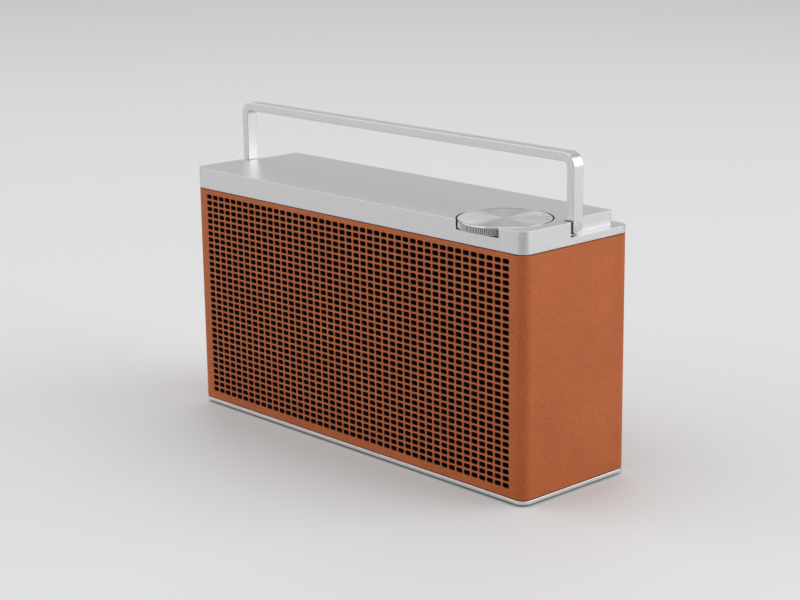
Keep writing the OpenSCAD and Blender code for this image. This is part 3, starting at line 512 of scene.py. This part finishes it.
def add_back(bm):
    """The back's two faces, with cut-outs for the connector panel and the antenna's foot."""
    for edge in (LOWER_EDGE, UPPER_EDGE):
        add_strip(bm, (RIGHT_SIDE[-1], LEFT_SIDE[0]), edge)
    panel_middle, swivel_middle = (
        ((high.x + low.x) / 2, (high.z + low.z) / 2)
        for low, high in ((panel_low, panel_high), (swivel_low, swivel_high)))
    panel_w, panel_h = panel_high.x - panel_low.x, panel_high.z - panel_low.z
    cuts = (
        (panel_middle, panel_w / 2, panel_h / 2, PANEL_R, PANEL_STEPS),
        (swivel_middle, SWIVEL_CUT_R, SWIVEL_CUT_R, SWIVEL_CUT_R, SWIVEL_STEPS),
    )
    outer_rings, inner_rings = [], []
    for middle, half_w, half_h, radius, steps in cuts:
        rings = []
        for grow, depth in reversed(OPENING_RINGS):
            points = rounded_loop(half_w + grow, half_h + grow, radius + grow, steps)
            rings.append(upright_ring(bm, points, middle, LEATHER_BACK - depth))
        for first, second in zip(rings, rings[1:]):
            bridge(bm, first, second, SKIN_INDEX)
        outer_rings.append(rings[0])
        inner_rings.append(rings[-1])
    outer_z = [LOWER_EDGE[-1][0]] + GRID_Z + [UPPER_EDGE[0][0]]
    faces = ((LEATHER_BACK, outer_rings, outer_z), (LEATHER_BACK - LEATHER_T, inner_rings, INNER_Z))
    for y, rings, heights in faces:
        left, right = ([bm.verts.new((x, y, z)) for z in heights] for x in (-FLAT_X, FLAT_X))
        loops = [left + right[::-1]] + rings
        verts = [vert for loop in loops for vert in loop]
        for triangle in tessellate_polygon([[vert.co for vert in loop] for loop in loops]):
            bm.faces.new([verts[k] for k in triangle])


def add_inside(bm):
    """The inner faces of the front and the sides, which are bonded to the cabinet."""
    for side in (RIGHT_SIDE, LEFT_SIDE):
        add_strip(bm, side, [(z, LEATHER_T) for z in INNER_Z], flip=True)
    inner_y = LEATHER_FRONT + LEATHER_T
    inner_front = [(x, inner_y, 0, 0) for x in FRONT_X]
    add_strip(bm, inner_front, [(LEATHER_FOOT, 0), (GRID_Z[0], 0)], flip=True)
    add_strip(bm, inner_front, [(GRID_Z[-1], 0), (LEATHER_TOP, 0)], flip=True)
    for end, near in ((-FLAT_X, GRID_X[0]), (FLAT_X, GRID_X[-1])):
        rim = [(end, GRID_Z[0]), (end, GRID_Z[-1])] + [(near, z) for z in reversed(GRID_Z)]
        bm.faces.new([bm.verts.new((x, inner_y, z)) for x, z in rim])


def build_leather():
    """One wrap: a front with a grid of holes, round corners, sides, and a back with cut-outs."""
    bm = bmesh.new()
    add_holes(bm)
    add_walls(bm)
    add_back(bm)
    add_inside(bm)
    bmesh.ops.remove_doubles(bm, verts=bm.verts, dist=LEATHER_WELD)
    bmesh.ops.recalc_face_normals(bm, faces=bm.faces)
    made = piece_from(bm, "leather_case", "cabinet", "leather", [LEATHER, CUT_EDGE],
                      ["leather_wrap"])
    smooth_by_angle(made, 50)
    weigh_normals(made)


# ---- knob ----

FLUTES = 144
FLUTE_DEPTH = 0.5 * MM
FLUTE_POINTS = 8
GROOVE_SHADE_FACES = (2, 3, 4, 5)  # of a flute's faces, those that lie deepest; they take a dark metal as painted shade in the grooves
FLUTE_END = 1.1 * MM  # below the knob's top
FLUTED_LEVELS = (2, 3, 4)
KNOB_BEVEL = 0.5 * MM
BAND_SET_IN = 0.1 * MM
HOLLOW = 2 * MM  # rise of the underside towards its middle
DISH = ((1.3, 0.02), (1.9, 0.1), (2.4, 0.12), (8, 0.14), (16, 0.12), (23, 0.08))  # set-in, drop, mm
DISH_MIDDLE = 0.07 * MM
RIM_INDEX, TOP_INDEX, GROOVE_SHADE_INDEX = 0, 1, 2

MARKS = 3
MARK_REACH = 23.8 * MM
MARK_R = 0.55 * MM
MARK_POINTS = 20
MARK_ANGLE = 52
MARK_STEP = 17
MARK_PROFILE = ((1.0, -0.3), (1.0, -0.09), (0.8, -0.05), (0.4, -0.03))  # share of MARK_R, mm up


def build_knob():
    """A fluted rim, with painted shade in its grooves, below a smooth band and a bright bevel, and a
    spun, faintly dished top.
    """
    count = FLUTES * FLUTE_POINTS
    waves = [0.5 - 0.5 * math.cos(2 * math.pi * k / FLUTE_POINTS) for k in range(count)]
    top, bottom = knob_high.z, knob_low.z
    flute_top = top - FLUTE_END
    # Set-in from the knob's radius, height, share of the flute's depth
    profile = [
        # underside and the flutes' lower ends
        (3.2 * MM, bottom, 0), (0.5 * MM, bottom, 0), (0.1 * MM, bottom + 0.3 * MM, 1),
        # flutes
        (0, bottom + 0.6 * MM, 1), (0, flute_top - 0.2 * MM, 1), (0.08 * MM, flute_top, 0.4),
        # smooth band
        (BAND_SET_IN, flute_top + 0.1 * MM, 0), (BAND_SET_IN, top - KNOB_BEVEL, 0),
        # bevel
        (0.2 * MM, top - 0.45 * KNOB_BEVEL, 0),
        (BAND_SET_IN + KNOB_BEVEL, top - 0.08 * KNOB_BEVEL, 0),
        (0.15 * MM + 1.4 * KNOB_BEVEL, top, 0),
    ]
    bm = bmesh.new()
    rings = []
    for set_in, z, share in profile:
        radii = [KNOB_R - set_in - share * FLUTE_DEPTH * wave for wave in waves]
        rings.append(turned_ring(bm, KNOB_MIDDLE, radii, z))
    for level, (first, second) in enumerate(zip(rings, rings[1:])):
        faces = bridge(bm, first, second, RIM_INDEX)
        # the deepest faces of each flute take the dark metal, as painted shade in the grooves
        if level in FLUTED_LEVELS:
            for k, face in enumerate(faces):
                if k % FLUTE_POINTS in GROOVE_SHADE_FACES:
                    face.material_index = GROOVE_SHADE_INDEX
    under = bm.verts.new((KNOB_MIDDLE.x, KNOB_MIDDLE.y, bottom + HOLLOW))
    for k in range(count):
        bm.faces.new((rings[0][(k + 1) % count], rings[0][k], under))
    last = rings[-1]
    for set_in, drop in DISH:
        ring = turned_ring(bm, KNOB_MIDDLE, [KNOB_R - set_in * MM] * count, top - drop * MM)
        bridge(bm, last, ring, TOP_INDEX)
        last = ring
    centre = bm.verts.new((KNOB_MIDDLE.x, KNOB_MIDDLE.y, top - DISH_MIDDLE))
    for k in range(count):
        face = bm.faces.new((last[k], last[(k + 1) % count], centre))
        face.material_index = TOP_INDEX
    bmesh.ops.recalc_face_normals(bm, faces=bm.faces)
    made = piece_from(bm, "knob", "knob", "knob_metal", [KNOB_RIM, KNOB_TOP, KNOB_GROOVE_SHADE],
                      ["volume_knob"])
    smooth_by_angle(made, 45)


def build_knob_marks():
    """Three small black studs in an arc near the knob's edge."""
    bm = bmesh.new()
    for k in range(MARKS):
        a = math.radians(MARK_ANGLE + (k - MARKS // 2) * MARK_STEP)
        place = (KNOB_MIDDLE.x + MARK_REACH * math.cos(a), KNOB_MIDDLE.y + MARK_REACH * math.sin(a))
        skin_rings(bm, [turned_ring(bm, place, [share * MARK_R] * MARK_POINTS, knob_high.z + z * MM)
                        for share, z in MARK_PROFILE])
    bmesh.ops.recalc_face_normals(bm, faces=bm.faces)
    made = piece_from(bm, "knob_marks", "knob", "black_plastic", [BLACK])
    smooth_by_angle(made, 50)


# ---- screws ----

HEAD_POINTS = 48
SOCKET_DEPTH = 0.7 * MM


def loose_parts(bm):
    """The corners of each separate solid in a mesh."""
    seen = set()
    for start in bm.verts:
        if start in seen:
            continue
        corners, queue = [], [start]
        seen.add(start)
        while queue:
            vert = queue.pop()
            corners.append(vert.co.copy())
            for edge in vert.link_edges:
                other = edge.other_vert(vert)
                if other not in seen:
                    seen.add(other)
                    queue.append(other)
        yield corners


def screw_places(node, axis):
    """The middle of each screw's outer face, and the screw's length, for a CAD node's screws."""
    bm = bmesh.new()
    bm.from_mesh(NODES[node].data)
    bmesh.ops.remove_doubles(bm, verts=bm.verts, dist=CAD_WELD)
    places = []
    for corners in loose_parts(bm):
        low = Vector(min(co[i] for co in corners) for i in range(3))
        high = Vector(max(co[i] for co in corners) for i in range(3))
        middle = (low + high) / 2
        reach = [co.dot(axis) for co in corners]
        outer = middle + axis * (max(reach) - middle.dot(axis))
        places.append((outer, max(reach) - min(reach)))
    bm.free()
    return places


def hexagon_radius(r, angle):
    """How far a hexagon with corners at r reaches at an angle."""
    half = math.pi / 6
    return r * math.cos(half) / math.cos((angle + half) % (2 * half) - half)


def build_screw_heads(node, name, outward, head_r, socket_r):
    """Screws with a countersunk head and a hexagon socket, one for each solid of a CAD node."""
    bm = bmesh.new()
    axis = Vector(outward)
    side = axis.orthogonal().normalized()
    up = axis.cross(side)
    for centre, length in screw_places(node, axis):
        # Radius, depth below the outer face, and whether the ring is a hexagon
        profile = (
            (0.5 * head_r, length, False), (0.5 * head_r, 0.55 * head_r, False),
            (head_r - 0.08 * MM, 0.12 * MM, False), (head_r - 0.08 * MM, 0.06 * MM, False),
            (head_r - 0.2 * MM, 0, False), (socket_r + 0.12 * MM, 0, True),
            (socket_r, 0.1 * MM, True), (socket_r, SOCKET_DEPTH, True),
        )
        rings = []
        for radius, depth, hexagonal in profile:
            ring = []
            for k in range(HEAD_POINTS):
                a = 2 * math.pi * k / HEAD_POINTS
                r = hexagon_radius(radius, a) if hexagonal else radius
                ring.append(bm.verts.new(
                    centre + r * math.cos(a) * side + r * math.sin(a) * up - depth * axis))
            rings.append(ring)
        skin_rings(bm, rings)
    bmesh.ops.recalc_face_normals(bm, faces=bm.faces)
    made = piece_from(bm, name, "cabinet", "screw_steel", [SCREW], [node])
    smooth_by_angle(made, 35)


# ---- stage ----

FLOOR_R = 3.2
FLOOR_SEGMENTS = 128
FLOOR_COLOR = (0.63, 0.63, 0.628)
SKY_COLOR = (0.95, 0.97, 1.0)
SKY_STRENGTH = 0.3
BACKDROP_COLOR = (0.74, 0.74, 0.745)
LAMP_TARGET = Vector((0, 0, 0.1))
LAMPS = {  # place, width and height, power in watts
    "front_box": ((-2.1, -2.45, 1.65), (5.5, 3.5), 78),
    "side_box": ((2.75, 1.67, 1.48), (4.3, 3.0), 97),
    "back_box": ((-2.4, 2.2, 1.0), (3.0, 2.0), 8),
    "top_box": ((-0.2, 0.1, 2.7), (4.2, 4.2), 62),
}


def add_lamp(name, place, size, energy):
    """A rectangular soft box that faces the lamps' target."""
    data = bpy.data.lights.new(name, "AREA")
    data.shape = "RECTANGLE"
    data.size, data.size_y = size
    data.energy = energy
    lamp = bpy.data.objects.new(name, data)
    lamp.location = place
    lamp.rotation_euler = (LAMP_TARGET - Vector(place)).to_track_quat("-Z", "Y").to_euler()
    bpy.context.scene.collection.objects.link(lamp)


def build_world():
    """A faint even light, and a pale backdrop that only the camera sees."""
    world = bpy.data.worlds.new("studio")
    world.use_nodes = True
    bpy.context.scene.world = world
    tree = world.node_tree
    sky = tree.nodes["Background"]
    sky.inputs["Color"].default_value = (*SKY_COLOR, 1)
    sky.inputs["Strength"].default_value = SKY_STRENGTH
    backdrop = tree.nodes.new("ShaderNodeBackground")
    backdrop.inputs["Color"].default_value = (*BACKDROP_COLOR, 1)
    backdrop.inputs["Strength"].default_value = 1.0
    rays = tree.nodes.new("ShaderNodeLightPath")
    chosen = tree.nodes.new("ShaderNodeMixShader")
    tree.links.new(rays.outputs["Is Camera Ray"], chosen.inputs["Fac"])
    tree.links.new(sky.outputs["Background"], chosen.inputs[1])
    tree.links.new(backdrop.outputs["Background"], chosen.inputs[2])
    tree.links.new(chosen.outputs["Shader"], tree.nodes["World Output"].inputs["Surface"])


def build_stage():
    """A plain pale floor, the world and the lamps."""
    bm = bmesh.new()
    bmesh.ops.create_circle(bm, cap_ends=True, radius=FLOOR_R, segments=FLOOR_SEGMENTS)
    mesh = bpy.data.meshes.new("floor")
    bm.to_mesh(mesh)
    bm.free()
    floor = bpy.data.objects.new("floor", mesh)
    mesh.materials.append(Shader("floor_paper", FLOOR_COLOR, 0.6).material)
    bpy.context.scene.collection.objects.link(floor)
    build_world()
    for name, (place, size, energy) in LAMPS.items():
        add_lamp(name, place, size, energy)


# ---- camera: the photograph's viewing angle ----

CAMERA_PLACE = (0.830, -0.768, 0.3735)
CAMERA_YAW, CAMERA_PITCH, CAMERA_ROLL = (math.radians(a) for a in (47.23, 14.26, -0.77))
CAMERA_LENS = 85.8


def build_camera():
    level = math.cos(CAMERA_PITCH)
    forward = Vector((-math.sin(CAMERA_YAW) * level, math.cos(CAMERA_YAW) * level,
                      -math.sin(CAMERA_PITCH)))
    right = forward.cross(Vector((0, 0, 1))).normalized()
    upward = right.cross(forward)
    turned_right = right * math.cos(CAMERA_ROLL) + upward * math.sin(CAMERA_ROLL)
    turned_up = upward * math.cos(CAMERA_ROLL) - right * math.sin(CAMERA_ROLL)
    data = bpy.data.cameras.new("camera")
    data.sensor_width = 36
    data.lens = CAMERA_LENS
    data.clip_start = 0.02
    camera = bpy.data.objects.new("camera", data)
    matrix = camera.matrix_world.copy()
    for row in range(3):
        matrix[row][0] = turned_right[row]
        matrix[row][1] = turned_up[row]
        matrix[row][2] = -forward[row]
        matrix[row][3] = CAMERA_PLACE[row]
    camera.matrix_world = matrix
    bpy.context.scene.collection.objects.link(camera)
    bpy.context.scene.camera = camera


finish_cad_nodes()
build_camera()
build_leather()
build_knob()
build_knob_marks()
bevelled_copy("top_cover", "cover", 0.2 * MM, shortest=0.2 * MM)
bevelled_copy("base_plate", "base", 0.3 * MM)
bevelled_copy("handle_bar", "handle", 0.4 * MM)
bevelled_copy("rear_panel", "connector_panel", 0.15 * MM)
bevelled_copy("pivot_pins", "handle_pins", 0.15 * MM)
bevelled_copy("antenna_swivel", "antenna_foot", 0.25 * MM)
bevelled_copy("antenna_cap", "antenna_tip", 0.5 * MM, segments=4)
bevelled_copy("antenna_tube_1", "antenna_sleeve", 0.12 * MM)
build_screw_heads("panel_screws", "panel_screw_heads", (0, 1, 0),
                  head_r=2.3 * MM, socket_r=1.0 * MM)
build_screw_heads("base_screws", "base_screw_heads", (0, 0, -1),
                  head_r=2.8 * MM, socket_r=1.25 * MM)
build_stage()

bpy.context.scene.view_settings.view_transform = "Standard"
